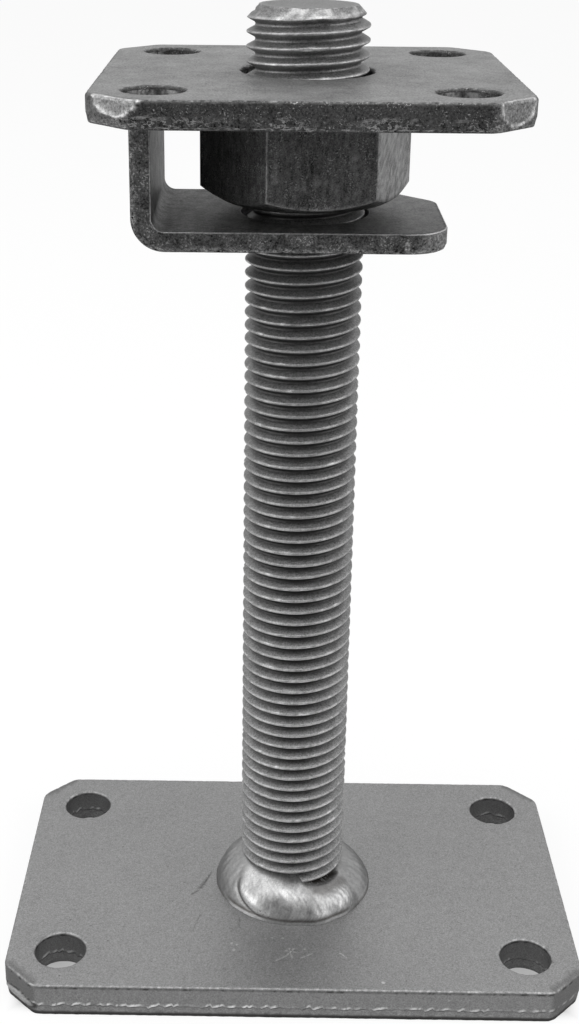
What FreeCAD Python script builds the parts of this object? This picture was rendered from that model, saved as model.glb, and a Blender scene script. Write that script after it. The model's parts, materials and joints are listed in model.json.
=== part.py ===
import FreeCAD, Part
import os

import Sketcher
from FreeCAD import Rotation, Vector

# Adjustable post base: a base plate with a threaded rod welded on it, and a
# loose head plate that a hex nut raises and lowers along the rod. A bent strip
# welded under the head plate keeps the nut between plate and strip.
# Millimetres. The origin is on the rod's axis at the base plate's underside,
# +Z runs up the rod, and the long side of the base plate runs along X.

# Alias, value and meaning of each driving size
SIZES = [
    ("base_length", 160.0, "base plate along X"),
    ("base_width", 100.0, "base plate along Y"),
    ("base_thickness", 10.0, "base plate's thickness"),
    ("base_crop", 9.0, "leg of the base plate's cropped corners"),
    ("base_hole", 14.0, "diameter of the base plate's punched holes"),
    ("base_hole_x", 130.0, "spacing of those holes along X"),
    ("base_hole_y", 70.0, "spacing of those holes along Y"),
    ("head_length", 100.0, "head plate along X"),
    ("head_width", 100.0, "head plate along Y"),
    ("head_thickness", 6.5, "head plate's thickness"),
    ("head_crop", 10.0, "leg of the head plate's cropped corners"),
    ("head_hole", 14.0, "diameter of the head plate's punched holes"),
    ("head_hole_x", 70.0, "spacing of those holes along X"),
    ("head_hole_y", 70.0, "spacing of those holes along Y"),
    ("crop_blend", 5.0, "radius that eases both ends of a plate's cropped corners"),
    ("edge_roll", 0.8, "radius that the shears roll over on a plate's upper edges"),
    ("break_share", 0.37, "share of a plate's thickness that breaks off below the cut"),
    ("break_lean", 0.4, "how far the broken part of a cut edge leans in"),
    ("rod_diameter", 30.0, "thread's outer diameter"),
    ("rod_length", 252.0, "rod's length above the base plate"),
    ("rod_chamfer", 3.0, "chamfer on the rod's free end"),
    ("rod_standout", 15.5, "how far the rod stands out above the head plate"),
    ("rod_play", 1.0, "radial room round the rod in the head plate and the bracket"),
    ("rod_weld_leg", 7.6, "rod's fillet weld along the base plate"),
    ("rod_weld_rise", 8.0, "rod's fillet weld along the rod"),
    ("rod_weld_crown", 1.1, "how far that weld bulges past a flat fillet"),
    ("nut_flats", 46.0, "nut across its flats"),
    ("nut_height", 24.0, "nut's height"),
    ("nut_face", 42.8, "diameter of the nut's flat end faces"),
    ("nut_bevel", 30.0, "slope of the nut's conical ends and mouths, in degrees"),
    ("nut_mouth", 32.4, "diameter of the nut's countersunk mouths"),
    ("nut_play", 0.05, "radial running clearance of the nut on the rod"),
    ("nut_turn", 8.6, "nut's turn about the rod, in degrees"),
    ("strip_width", 50.0, "bracket's strip along Y"),
    ("strip_thickness", 5.0, "bracket's strip thickness"),
    ("strip_edge", 0.5, "radius on the strip's long edges and its hole's upper rim"),
    ("bend_radius", 3.0, "bend's inner radius"),
    ("leg_reach", 36.8, "rod's axis to the leg's inner face"),
    ("tab_reach", 34.3, "rod's axis to the tab's free end"),
    ("tab_gap", 3.9, "free height between nut and tab"),
    ("tab_round", 10.0, "radius of the tab's front corner"),
    ("tab_crop", 13.0, "leg of the tab's cropped back corner"),
    ("tab_blend", 6.0, "radius that eases both ends of that crop"),
    ("leg_weld_leg", 3.5, "fillet weld between the bracket's leg and the head plate"),
    ("leg_weld_inset", 4.0, "how far that weld stops short of the strip's edges"),
    ("leg_weld_crown", 0.5, "how far that weld bulges past a flat fillet"),
]

# Heights above the base plate's underside, as expressions of the sheet
HEAD_UNDERSIDE = "sizes.base_thickness + sizes.rod_length - sizes.rod_standout - sizes.head_thickness"
NUT_UNDERSIDE = f"{HEAD_UNDERSIDE} - sizes.nut_height"

# Indices of a sketch's own origin point and axes
ORIGIN_INDEX = (-1, 1)
X_AXIS_INDEX = -1
Y_AXIS_INDEX = -2

SAME_PLACE = 1e-5
NUT_SIDES = 6
PAST_CORNERS = 1.05  # reach of the bevel cutter, as a share of the nut's corner radius

document = FreeCAD.newDocument("post_base")


def make_sheet():
    """Write the driving sizes into a spreadsheet, one row each."""
    sheet = document.addObject("Spreadsheet::Sheet", "sizes")
    for row, (alias, value, meaning) in enumerate(SIZES, start=1):
        sheet.set(f"A{row}", meaning)
        sheet.set(f"B{row}", str(value))
        sheet.setAlias(f"B{row}", alias)
    document.recompute()


def make_body(label, lift=None):
    """Body of one piece; lift is the expression of its height above the origin."""
    body = document.addObject("PartDesign::Body", label)
    body.Label = label
    if lift:
        body.setExpression("Placement.Base.z", lift)
    return body


def add_sketch(body, name, role):
    """Sketch on the body's own origin plane of that role."""
    plane = next(item for item in body.Origin.OriginFeatures if item.Role == role)
    sketch = body.newObject("Sketcher::SketchObject", name)
    sketch.AttachmentSupport = (plane, [""])
    sketch.MapMode = "FlatFace"
    return sketch


def value_of(sketch, expression):
    result = sketch.evalExpression(expression)
    return float(getattr(result, "Value", result))


def tie(sketch, constraint, name, expression):
    """Add a constraint under a name and bind its value to an expression."""
    sketch.renameConstraint(sketch.addConstraint(constraint), name)
    sketch.setExpression(f"Constraints.{name}", expression)


def pin_point(sketch, geometry, end, x, y, name):
    """Hold a sketch point at two expressions; None keeps it on the axis where that coordinate is 0."""
    for axis, kind, expression in ((Y_AXIS_INDEX, "DistanceX", x), (X_AXIS_INDEX, "DistanceY", y)):
        if expression is None:
            sketch.addConstraint(Sketcher.Constraint("PointOnObject", geometry, end, axis))
        else:
            distance = value_of(sketch, expression)
            constraint = Sketcher.Constraint(kind, *ORIGIN_INDEX, geometry, end, distance)
            tie(sketch, constraint, f"{name}_{kind[-1].lower()}", expression)


def draw_loop(sketch, corners, name):
    """Closed loop of straight lines through corners given as (x, y) expressions."""
    places = [
        Vector(*(value_of(sketch, part) if part else 0.0 for part in corner), 0) for corner in corners
    ]
    lines = [
        sketch.addGeometry(Part.LineSegment(start, end), False)
        for start, end in zip(places, places[1:] + places[:1])
    ]
    for index, (line, (x, y)) in enumerate(zip(lines, corners)):
        sketch.addConstraint(Sketcher.Constraint("Coincident", lines[index - 1], 2, line, 1))
        pin_point(sketch, line, 1, x, y, f"{name}{index}")


def draw_circle(sketch, x, y, diameter, name):
    centre = Vector(*(value_of(sketch, part) if part else 0.0 for part in (x, y)), 0)
    radius = value_of(sketch, diameter) / 2
    circle = sketch.addGeometry(Part.Circle(centre, Vector(0, 0, 1), radius), False)
    if x is None and y is None:
        sketch.addConstraint(Sketcher.Constraint("Coincident", circle, 3, *ORIGIN_INDEX))
    else:
        pin_point(sketch, circle, 3, x, y, name)
    tie(sketch, Sketcher.Constraint("Diameter", circle, 2 * radius), f"{name}_size", diameter)


def draw_fillet_weld(sketch, corner, toe, leg, rise, crown):
    """Section of a fillet weld: two legs from the corner and a crowned arc between their toes.

    corner and toe are the x expressions of the right angle and of the toe on the
    horizontal leg, rise is the signed height of the other toe.
    """
    inner = Vector(value_of(sketch, corner), 0, 0)
    outer = Vector(value_of(sketch, toe), 0, 0)
    upper = Vector(inner.x, value_of(sketch, rise), 0)
    chord = upper - outer
    away = Vector(chord.y, -chord.x, 0).normalize()
    if away.dot(outer - inner) < 0:
        away = -away
    top = (outer + upper) / 2 + away * value_of(sketch, crown)
    foot_line = sketch.addGeometry(Part.LineSegment(inner, outer), False)
    rise_line = sketch.addGeometry(Part.LineSegment(upper, inner), False)
    arc = sketch.addGeometry(Part.Arc(outer, top, upper), False)
    arc_start = sketch.Geometry[arc].StartPoint
    start_end, finish_end = (1, 2) if arc_start.distanceToPoint(outer) < SAME_PLACE else (2, 1)
    sketch.addConstraint(Sketcher.Constraint("Coincident", rise_line, 2, foot_line, 1))
    sketch.addConstraint(Sketcher.Constraint("Coincident", foot_line, 2, arc, start_end))
    sketch.addConstraint(Sketcher.Constraint("Coincident", arc, finish_end, rise_line, 1))
    pin_point(sketch, foot_line, 1, corner, None, "corner")
    pin_point(sketch, foot_line, 2, toe, None, "toe")
    pin_point(sketch, rise_line, 1, corner, rise, "upper")
    radius = f"(({leg})^2 + ({rise})^2) / (8 * {crown}) + {crown} / 2"
    tie(sketch, Sketcher.Constraint("Radius", arc, value_of(sketch, radius)), "crown", radius)


def add_feature(body, kind, name, profile=None, **properties):
    """Add a feature; a property given as text is bound as an expression, any other is set."""
    feature = body.newObject(f"PartDesign::{kind}", name)
    if profile:
        feature.Profile = profile
    for key, value in properties.items():
        if isinstance(value, str):
            feature.setExpression(key, value)
        else:
            setattr(feature, key, value)
    document.recompute()
    return feature


def dress_edges(body, kind, name, wanted, **properties):
    """Fillet or chamfer those edges of the body's tip that the test picks."""
    base = body.Tip
    names = [f"Edge{index}" for index, edge in enumerate(base.Shape.Edges, start=1) if wanted(edge)]
    return add_feature(body, kind, name, Base=(base, names), **properties)


def is_upright(edge):
    return edge.BoundBox.ZLength > SAME_PLACE > max(edge.BoundBox.XLength, edge.BoundBox.YLength)


def lies_at(edge, height):
    return abs(edge.BoundBox.ZMin - height) < SAME_PLACE and abs(edge.BoundBox.ZMax - height) < SAME_PLACE


def is_rim(edge):
    """A whole circle, as round a hole, and not a blended corner's arc."""
    return edge.Curve.TypeId == "Part::GeomCircle" and len(edge.Vertexes) == 1


def make_plate(label, prefix, lift, has_rod_hole):
    """Sheared plate with cropped corners and four punched holes.

    The shears and the punch roll the upper edges over, cut the upper part of
    the thickness clean and break the rest off at a slight lean.
    """
    body = make_body(label, lift)
    half_length = f"sizes.{prefix}_length / 2"
    half_width = f"sizes.{prefix}_width / 2"
    thickness = f"sizes.{prefix}_thickness"

    outline = add_sketch(body, f"{prefix}_outline", "XY_Plane")
    corners = [
        (f"-({half_length})", f"-({half_width})"),
        (half_length, f"-({half_width})"),
        (half_length, half_width),
        (f"-({half_length})", half_width),
    ]
    draw_loop(outline, corners, "corner")
    slab = add_feature(body, "Pad", f"{prefix}_slab", outline, Length=thickness)
    top = slab.Shape.BoundBox.ZMax

    dress_edges(body, "Chamfer", f"{prefix}_cropped_corners", is_upright, Size=f"sizes.{prefix}_crop")
    dress_edges(body, "Fillet", f"{prefix}_eased_corners", is_upright, Radius="sizes.crop_blend")

    holes = add_sketch(body, f"{prefix}_hole_places", "XY_Plane")
    for side_x, name_x in ((-1, "left"), (1, "right")):
        for side_y, name_y in ((-1, "front"), (1, "back")):
            x = f"{side_x} * sizes.{prefix}_hole_x / 2"
            y = f"{side_y} * sizes.{prefix}_hole_y / 2"
            draw_circle(holes, x, y, f"sizes.{prefix}_hole", f"{name_x}_{name_y}")
    if has_rod_hole:
        draw_circle(holes, None, None, "sizes.rod_diameter + 2 * sizes.rod_play", "rod_hole")
    add_feature(body, "Pocket", f"{prefix}_punched_holes", holes, Reversed=True, Length=thickness)

    dress_edges(
        body, "Fillet", f"{prefix}_rolled_edges", lambda edge: lies_at(edge, top), Radius="sizes.edge_roll"
    )
    lean = "sizes.break_lean"
    broken = f"sizes.break_share * {thickness}"
    dress_edges(
        body,
        "Chamfer",
        f"{prefix}_broken_outline",
        lambda edge: lies_at(edge, 0) and not is_rim(edge),
        ChamferType=1,
        FlipDirection=True,
        Size=lean,
        Size2=broken,
    )
    dress_edges(
        body,
        "Chamfer",
        f"{prefix}_broken_holes",
        lambda edge: lies_at(edge, 0) and is_rim(edge),
        ChamferType=1,
        Size=lean,
        Size2=broken,
    )
    return body


def make_rod():
    """Rod with its thread's outer diameter, chamfered at the free end."""
    body = make_body("threaded_rod", "sizes.base_thickness")
    section = add_sketch(body, "rod_section", "XY_Plane")
    draw_circle(section, None, None, "sizes.rod_diameter", "rod")
    bar = add_feature(body, "Pad", "rod_bar", section, Length="sizes.rod_length")
    end = bar.Shape.BoundBox.ZMax
    dress_edges(body, "Chamfer", "rod_end", lambda edge: lies_at(edge, end), Size="sizes.rod_chamfer")
    return body


def make_rod_weld():
    """Fillet weld all round the rod's foot."""
    body = make_body("rod_weld", "sizes.base_thickness")
    section = add_sketch(body, "rod_weld_section", "XZ_Plane")
    draw_fillet_weld(
        section,
        corner="sizes.rod_diameter / 2",
        toe="sizes.rod_diameter / 2 + sizes.rod_weld_leg",
        leg="sizes.rod_weld_leg",
        rise="sizes.rod_weld_rise",
        crown="sizes.rod_weld_crown",
    )
    add_feature(body, "Revolution", "rod_weld_ring", section, ReferenceAxis=(section, ["V_Axis"]), Angle=360.0)
    return body


def make_nut():
    """Hex nut with conical ends, a bore that runs on the thread and countersunk mouths."""
    body = make_body("hex_nut", NUT_UNDERSIDE)
    body.Placement.Rotation = Rotation(Vector(0, 0, 1), 0.0)
    body.setExpression("Placement.Rotation.Angle", "sizes.nut_turn * 1 deg")

    section = add_sketch(body, "nut_hexagon", "XY_Plane")
    corner_radius = "sizes.nut_flats / sqrt(3)"
    corners = []
    for turn in range(0, 360, 360 // NUT_SIDES):
        x = f"{corner_radius} * cos({turn} deg)"
        y = f"{corner_radius} * sin({turn} deg)"
        corners.append((x, y if turn % 180 else None))
    draw_loop(section, corners, "corner")
    add_feature(body, "Pad", "nut_blank", section, Length="sizes.nut_height")

    bevel = add_sketch(body, "nut_bevel_section", "XZ_Plane")
    face = "sizes.nut_face / 2"
    beyond = f"{PAST_CORNERS} * {corner_radius}"
    drop = f"(({beyond}) - {face}) * tan(sizes.nut_bevel * 1 deg)"
    draw_loop(bevel, [(face, None), (beyond, None), (beyond, drop)], "lower")
    upper = "sizes.nut_height"
    draw_loop(bevel, [(face, upper), (beyond, upper), (beyond, f"{upper} - {drop}")], "upper")
    add_feature(body, "Groove", "nut_bevels", bevel, ReferenceAxis=(bevel, ["V_Axis"]), Angle=360.0)

    bore = add_sketch(body, "nut_bore_section", "XZ_Plane")
    mouth = "sizes.nut_mouth / 2"
    wall = "sizes.rod_diameter / 2 + sizes.nut_play"
    sink = f"({mouth} - ({wall})) * tan(sizes.nut_bevel * 1 deg)"
    draw_loop(
        bore,
        [
            (None, None),
            (mouth, None),
            (wall, sink),
            (wall, f"{upper} - {sink}"),
            (mouth, upper),
            (None, upper),
        ],
        "bore",
    )
    add_feature(body, "Groove", "nut_bore", bore, ReferenceAxis=(bore, ["V_Axis"]), Angle=360.0)
    return body


def make_bracket():
    """Strip bent to an L: a leg down from the head plate and a tab under the nut."""
    body = make_body("bracket", HEAD_UNDERSIDE)
    inner = "-sizes.leg_reach"
    outer = "-sizes.leg_reach - sizes.strip_thickness"
    tab_top = "-sizes.nut_height - sizes.tab_gap"
    tab_bottom = f"{tab_top} - sizes.strip_thickness"
    tab_end = "sizes.tab_reach"

    profile = add_sketch(body, "bracket_profile", "XZ_Plane")
    corners = [
        (outer, None),
        (inner, None),
        (inner, tab_top),
        (tab_end, tab_top),
        (tab_end, tab_bottom),
        (outer, tab_bottom),
    ]
    draw_loop(profile, corners, "corner")
    add_feature(body, "Pad", "bracket_strip", profile, Midplane=True, Length="sizes.strip_width")

    inner_x, outer_x, end_x, top_z, bottom_z = (
        value_of(profile, part) for part in (inner, outer, tab_end, tab_top, tab_bottom)
    )

    def runs_along(edge, x, z):
        centre = edge.BoundBox.Center
        return abs(centre.x - x) < SAME_PLACE and abs(centre.z - z) < SAME_PLACE

    dress_edges(
        body, "Fillet", "bracket_inner_bend", lambda edge: runs_along(edge, inner_x, top_z),
        Radius="sizes.bend_radius",
    )
    dress_edges(
        body, "Fillet", "bracket_outer_bend", lambda edge: runs_along(edge, outer_x, bottom_z),
        Radius="sizes.bend_radius + sizes.strip_thickness",
    )
    middle_z = (top_z + bottom_z) / 2
    dress_edges(
        body, "Chamfer", "bracket_back_crop",
        lambda edge: runs_along(edge, end_x, middle_z) and is_upright(edge) and edge.BoundBox.YMin > 0,
        Size="sizes.tab_crop",
    )
    dress_edges(
        body, "Fillet", "bracket_eased_crop",
        lambda edge: is_upright(edge) and edge.BoundBox.XMin > 0 and edge.BoundBox.YMin > 0,
        Radius="sizes.tab_blend",
    )
    dress_edges(
        body, "Fillet", "bracket_front_corner",
        lambda edge: is_upright(edge) and edge.BoundBox.XMin > 0 and edge.BoundBox.YMax < 0,
        Radius="sizes.tab_round",
    )

    hole = add_sketch(body, "bracket_hole_place", "XY_Plane")
    draw_circle(hole, None, None, "sizes.rod_diameter + 2 * sizes.rod_play", "rod_hole")
    add_feature(body, "Pocket", "bracket_rod_hole", hole, Type=1)

    half_width = value_of(profile, "sizes.strip_width / 2")
    thickness = value_of(profile, "sizes.strip_thickness")

    def is_long_edge(edge):
        box = edge.BoundBox
        on_side = abs(abs(box.YMin) - half_width) < SAME_PLACE and box.YLength < SAME_PLACE
        return on_side and edge.Length > 2 * thickness

    def is_upper_rim(edge):
        return is_rim(edge) and lies_at(edge, top_z)

    dress_edges(
        body, "Fillet", "bracket_soft_edges", lambda edge: is_long_edge(edge) or is_upper_rim(edge),
        Radius="sizes.strip_edge",
    )
    return body


def make_bracket_weld():
    """Fillet weld that holds the leg's outer face under the head plate."""
    body = make_body("bracket_weld", HEAD_UNDERSIDE)
    section = add_sketch(body, "bracket_weld_section", "XZ_Plane")
    corner = "-sizes.leg_reach - sizes.strip_thickness"
    draw_fillet_weld(
        section,
        corner=corner,
        toe=f"{corner} - sizes.leg_weld_leg",
        leg="sizes.leg_weld_leg",
        rise="-sizes.leg_weld_leg",
        crown="sizes.leg_weld_crown",
    )
    run = "sizes.strip_width - 2 * sizes.leg_weld_inset"
    add_feature(body, "Pad", "bracket_weld_bead", section, Midplane=True, Length=run)
    return body


def check_and_export(bodies):
    """Stop on any failed object, then write each piece to its own file."""
    document.recompute()
    for item in document.Objects:
        if {"Invalid", "Error"} & set(item.State):
            raise RuntimeError(f"{item.Label} failed: {item.State}")
    for body in bodies:
        shape = body.Shape
        if shape.isNull() or not shape.isValid() or len(shape.Solids) != 1:
            raise RuntimeError(f"{body.Label} is not one valid solid")
    os.makedirs("parts", exist_ok=True)
    for body in bodies:
        body.Shape.exportStep(f"parts/{body.Label}.step")
        box = body.Shape.optimalBoundingBox()
        print(f"{body.Label}: {body.Shape.Volume:.0f} mm3, z {box.ZMin:.2f} to {box.ZMax:.2f}")


make_sheet()
check_and_export(
    [
        make_plate("base_plate", "base", None, has_rod_hole=False),
        make_rod(),
        make_rod_weld(),
        make_nut(),
        make_plate("head_plate", "head", HEAD_UNDERSIDE, has_rod_hole=True),
        make_bracket(),
        make_bracket_weld(),
    ]
)
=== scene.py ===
import json
import math
import random
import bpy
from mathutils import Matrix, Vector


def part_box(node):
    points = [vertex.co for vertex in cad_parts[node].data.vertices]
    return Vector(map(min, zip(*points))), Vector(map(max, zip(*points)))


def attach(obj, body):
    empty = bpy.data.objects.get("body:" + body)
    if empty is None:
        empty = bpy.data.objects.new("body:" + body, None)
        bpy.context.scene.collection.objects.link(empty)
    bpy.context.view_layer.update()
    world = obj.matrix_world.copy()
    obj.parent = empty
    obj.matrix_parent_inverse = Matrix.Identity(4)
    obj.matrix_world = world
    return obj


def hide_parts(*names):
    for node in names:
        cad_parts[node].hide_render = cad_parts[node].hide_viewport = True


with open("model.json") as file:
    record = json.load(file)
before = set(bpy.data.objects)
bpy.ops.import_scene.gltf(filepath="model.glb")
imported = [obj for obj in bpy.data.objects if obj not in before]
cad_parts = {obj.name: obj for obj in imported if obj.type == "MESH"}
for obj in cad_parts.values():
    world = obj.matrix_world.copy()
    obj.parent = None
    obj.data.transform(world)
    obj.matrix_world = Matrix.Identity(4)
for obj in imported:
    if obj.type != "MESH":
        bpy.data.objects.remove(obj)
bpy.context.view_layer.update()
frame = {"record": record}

from types import SimpleNamespace

import bmesh
import bpy
from mathutils import Matrix, Vector, noise
from mathutils.geometry import delaunay_2d_cdt

# Post base: galvanised base plate with a welded threaded rod, a hex nut on the rod
# and a head plate with a bent strip under it. Sizes in the dictionaries are
# millimetres, and become metres when a mesh is made. Angles there are degrees.

mm = 0.001
mounts = {mount["name"]: mount for mount in frame["record"]["mounts"]}


def nodeBox(node):
    low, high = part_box(node)
    return low / mm, high / mm


# Small helpers shared by the pieces


def lerp(a, b, t):
    return a + (b - a) * t


def smooth(low, high, value):  # 0 at low, 1 at high, eased between
    t = min(max((value - low) / (high - low), 0.0), 1.0)
    return t * t * (3 - 2 * t)


def hill(value, middle, width):
    return math.exp(-((value - middle) / width) ** 2)


def between(rise, fall, value):  # 1 between an eased rise and an eased fall, each a pair of values
    return smooth(*rise, value) * (1 - smooth(*fall, value))


# even noise from about -1 to 1, with lumps of that size; a plain number for z picks a layer of it
def rough(x, y, z, size=1.0):
    return noise.noise(Vector((x, y, z)) / size)


def polar(radius, angle, level):
    return (radius * math.cos(angle), radius * math.sin(angle), level)


def newObject(name, data):
    thing = bpy.data.objects.new(name, data)
    bpy.context.collection.objects.link(thing)
    return thing


def newShape():
    return {"verts": [], "faces": [], "bright": [], "cut": [], "dark": [], "torn": []}


def addVert(shape, place, bright=0.0, cut=0.0, dark=0.0, torn=0.0):
    shape["verts"].append(Vector(place))
    shape["bright"].append(min(max(bright, 0.0), 1.0))
    shape["cut"].append(cut)
    shape["dark"].append(min(max(dark, 0.0), 1.0))
    shape["torn"].append(torn)
    return len(shape["verts"]) - 1


def addBand(shape, lower, upper, closed=True):  # quads between two rows of equal length
    count = len(lower)
    for i in range(count if closed else count - 1):
        j = (i + 1) % count
        shape["faces"].append((lower[i], lower[j], upper[j], upper[i]))


def addRows(shape, rows, closed=True):  # a band between each row and the next
    for lower, upper in zip(rows, rows[1:]):
        addBand(shape, lower, upper, closed)


def addFan(shape, ring, centre):
    for i, vert in enumerate(ring):
        shape["faces"].append((vert, ring[(i + 1) % len(ring)], centre))


def makePiece(name, shape, body, node, material):
    mesh = bpy.data.meshes.new(name)
    mesh.from_pydata([place * mm for place in shape["verts"]], [], shape["faces"])
    for mark in ("bright", "cut", "dark", "torn"):
        layer = mesh.attributes.new(mark, "FLOAT", "POINT")
        layer.data.foreach_set("value", shape[mark])
    bm = bmesh.new()
    bm.from_mesh(mesh)
    bmesh.ops.remove_doubles(bm, verts=bm.verts, dist=1e-7)
    bmesh.ops.dissolve_degenerate(bm, edges=bm.edges, dist=1e-7)
    loose = [vert for vert in bm.verts if not vert.link_faces]
    bmesh.ops.delete(bm, geom=loose, context="VERTS")
    bm.to_mesh(mesh)
    bm.free()
    mesh.shade_smooth()
    mesh.materials.append(material)
    piece = newObject(name, mesh)
    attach(piece, body)
    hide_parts(node)
    print(name, len(mesh.polygons), "faces")


# Materials


def addNode(tree, kind, inputs=None, **settings):
    node = tree.nodes.new("ShaderNode" + kind)
    for key, value in settings.items():
        setattr(node, key, value)
    for key, value in (inputs or {}).items():
        if isinstance(value, bpy.types.NodeSocket):
            tree.links.new(value, node.inputs[key])
        else:
            node.inputs[key].default_value = value
    return node


def calc(tree, kind, a, b):
    return addNode(tree, "Math", {0: a, 1: b}, operation=kind).outputs[0]


def times(tree, first, *others):
    for other in others:
        first = calc(tree, "MULTIPLY", first, other)
    return first


def mixTone(tree, factor, a, b):
    return addNode(tree, "Mix", {0: factor, 6: a, 7: b}, data_type="RGBA").outputs[2]


def mixValue(tree, factor, a, b):
    return addNode(tree, "Mix", {0: factor, 2: a, 3: b}, data_type="FLOAT").outputs[0]


def spread(tree, value, low, high, start=0.0, end=1.0):
    node = addNode(tree, "MapRange", {0: value, 1: low, 2: high, 3: start, 4: end})
    return node.outputs[0]


def tone(level, warmth=0.0):  # a near-neutral grey
    return (level * (1 + warmth), level, level * (1 - warmth), 1.0)


def emptyTree(owner):  # of a material or the world
    owner.use_nodes = True
    owner.node_tree.nodes.clear()
    return owner.node_tree


def finishTree(tree, shader, kind="Material"):
    tree.links.new(shader, addNode(tree, "Output" + kind).inputs["Surface"])


def zincSteel(name, look):
    material = bpy.data.materials.new(name)
    tree = emptyTree(material)
    place = addNode(tree, "TexCoord").outputs["Object"]

    def noiseOf(size, detail=2.0, roughness=0.5, stretch=None):
        source = place
        if stretch:
            source = addNode(tree, "Mapping", {"Vector": place, "Scale": stretch}).outputs[0]
        inputs = {"Vector": source, "Scale": 1 / (size * mm), "Detail": detail, "Roughness": roughness}
        return addNode(tree, "TexNoise", inputs).outputs["Fac"]

    def spots(size, roughness, start, blend, *shares):  # noise above a level
        return times(tree, spread(tree, noiseOf(size, 2.0, roughness), start, start + blend), *shares)

    bright, cut, dark, torn = (
        addNode(tree, "Attribute", attribute_name=mark).outputs["Fac"]
        for mark in ("bright", "cut", "dark", "torn")
    )
    cloud = noiseOf(look["cloudSize"], 3.0, 0.6)
    grain = noiseOf(look["grainSize"], 2.0, 0.75)
    streak = noiseOf(look["streakSize"], 3.0, 0.6, look["streakStretch"])
    lumps = noiseOf(look["tornSize"], 3.0, 0.7)

    # small light flecks, partly painted glints, gathered in patches, and dark pits
    patches = spread(tree, noiseOf(look["fleckPatch"], 3.0, 0.7), *look["patchEdge"])
    flecks = mixValue(tree, cut, look["faceFlecks"], look["cutFlecks"])
    fleck = spots(look["fleckSize"], 0.6, look["fleckFrom"], look["fleckBlend"], patches, flecks)
    pits = mixValue(tree, cut, look["facePits"], look["cutPits"])
    pit = spots(look["pitSize"], 0.5, look["pitFrom"], look["pitBlend"], pits)

    # light crinkled lines where the metal tore instead of being cut
    crinkle = calc(tree, "SUBTRACT", noiseOf(look["crinkleSize"], 3.0, 0.6, look["crinkleStretch"]), 0.5)
    crinkle = spread(tree, calc(tree, "ABSOLUTE", crinkle, 0.0), look["crinkleWide"], 0.0)
    crinklePatch = spread(tree, noiseOf(look["crinkleSize"] * 4), 0.4, 0.6)
    crinkle = times(tree, crinkle, crinklePatch, times(tree, torn, look["crinkles"]))
    light = calc(tree, "MAXIMUM", fleck, crinkle)

    waver = 0.0
    tornWaver = calc(tree, "ADD", look["cloudDepth"], times(tree, torn, look["tornDepth"]))
    layers = [(cloud, look["cloudDepth"]), (lumps, tornWaver)]
    layers += [(grain, look["grainDepth"]), (streak, look["streakDepth"])]
    for source, share in layers:
        waver = calc(tree, "ADD", waver, times(tree, spread(tree, source, 0.3, 0.7, -1, 1), share))
    colour = mixTone(tree, cut, tone(look["faceTone"]), tone(look["cutTone"]))
    value = calc(tree, "ADD", waver, 1.0)
    colour = addNode(tree, "HueSaturation", {"Value": value, "Color": colour}).outputs[0]
    colour = mixTone(tree, pit, colour, tone(look["pitTone"], 0.05))
    colour = mixTone(tree, light, colour, tone(look["fleckTone"]))
    # the bright mark is painted highlight and glints along with light scratches and bare metal; the dark mark
    # is painted shade along with dark marks and rust
    brightMask = times(tree, bright, spread(tree, grain, 0.3, 0.6, 0.55, 1.0))
    colour = mixTone(tree, brightMask, colour, tone(look["brightTone"]))
    colour = mixTone(tree, dark, colour, tone(look["darkTone"], look["darkWarmth"]))

    roughness = mixValue(tree, cut, look["faceRough"], look["cutRough"])
    roughness = mixValue(tree, brightMask, roughness, look["brightRough"])
    roughness = calc(tree, "ADD", roughness, spread(tree, grain, 0.3, 0.7, -0.06, 0.06))

    relief = times(tree, grain, mixValue(tree, cut, look["faceRelief"], look["cutRelief"]))
    tornRelief = times(tree, torn, 2.0)
    for source, share in ((light, 0.3), (pit, -0.6), (lumps, tornRelief), (streak, look["streakRelief"])):
        relief = calc(tree, "ADD", relief, times(tree, source, share))
    bumpInputs = {"Strength": look["bump"], "Distance": 0.1 * mm, "Height": relief}
    shaderInputs = {
        "Base Color": colour, "Metallic": look["metallic"], "Roughness": roughness,
        "Normal": addNode(tree, "Bump", bumpInputs).outputs[0], "Specular Tint": tone(look["glossTint"]),
    }
    finishTree(tree, addNode(tree, "BsdfPrincipled", shaderInputs).outputs[0])
    return material


# tones are the light a surface throws back; sizes are millimetres
# brightTone and darkTone colour the bright and dark marks, which hold painted highlight and painted shade as
# well as wear and stains
plainZinc = {
    "faceTone": 0.29, "cutTone": 0.21, "brightTone": 0.75, "darkTone": 0.04, "darkWarmth": 0.02,
    "fleckTone": 0.5, "pitTone": 0.10, "glossTint": 0.55,
    "faceRough": 0.48, "cutRough": 0.52, "brightRough": 0.3, "metallic": 0.85,
    "cloudSize": 22.0, "cloudDepth": 0.03, "grainSize": 0.35, "grainDepth": 0.34,
    "streakSize": 3.0, "streakStretch": (1.0, 1.0, 1.0), "streakDepth": 0.02, "streakRelief": 0.0,
    "fleckSize": 0.5, "fleckFrom": 0.63, "fleckBlend": 0.07, "fleckPatch": 6.0, "patchEdge": (0.45, 0.62),
    "faceFlecks": 0.25, "cutFlecks": 0.5,
    "crinkleSize": 2.4, "crinkleStretch": (1.0, 1.0, 1.6), "crinkleWide": 0.035, "crinkles": 0.35,
    "tornSize": 1.3, "tornDepth": 0.18,
    "pitSize": 0.9, "pitFrom": 0.68, "pitBlend": 0.06, "facePits": 0.5, "cutPits": 0.5,
    "faceRelief": 1.0, "cutRelief": 1.2, "bump": 0.25,
}
headZinc = dict(
    plainZinc, cutTone=0.08, cutRough=0.55, cutFlecks=0.9, cutPits=1.0, fleckSize=0.45, fleckFrom=0.59,
    fleckTone=0.5, fleckPatch=2.5, cutRelief=3.0, bump=0.35, cloudSize=11.0, cloudDepth=0.2, crinkles=0.9,
    grainSize=0.5, grainDepth=0.6, tornDepth=0.4,
)
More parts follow.
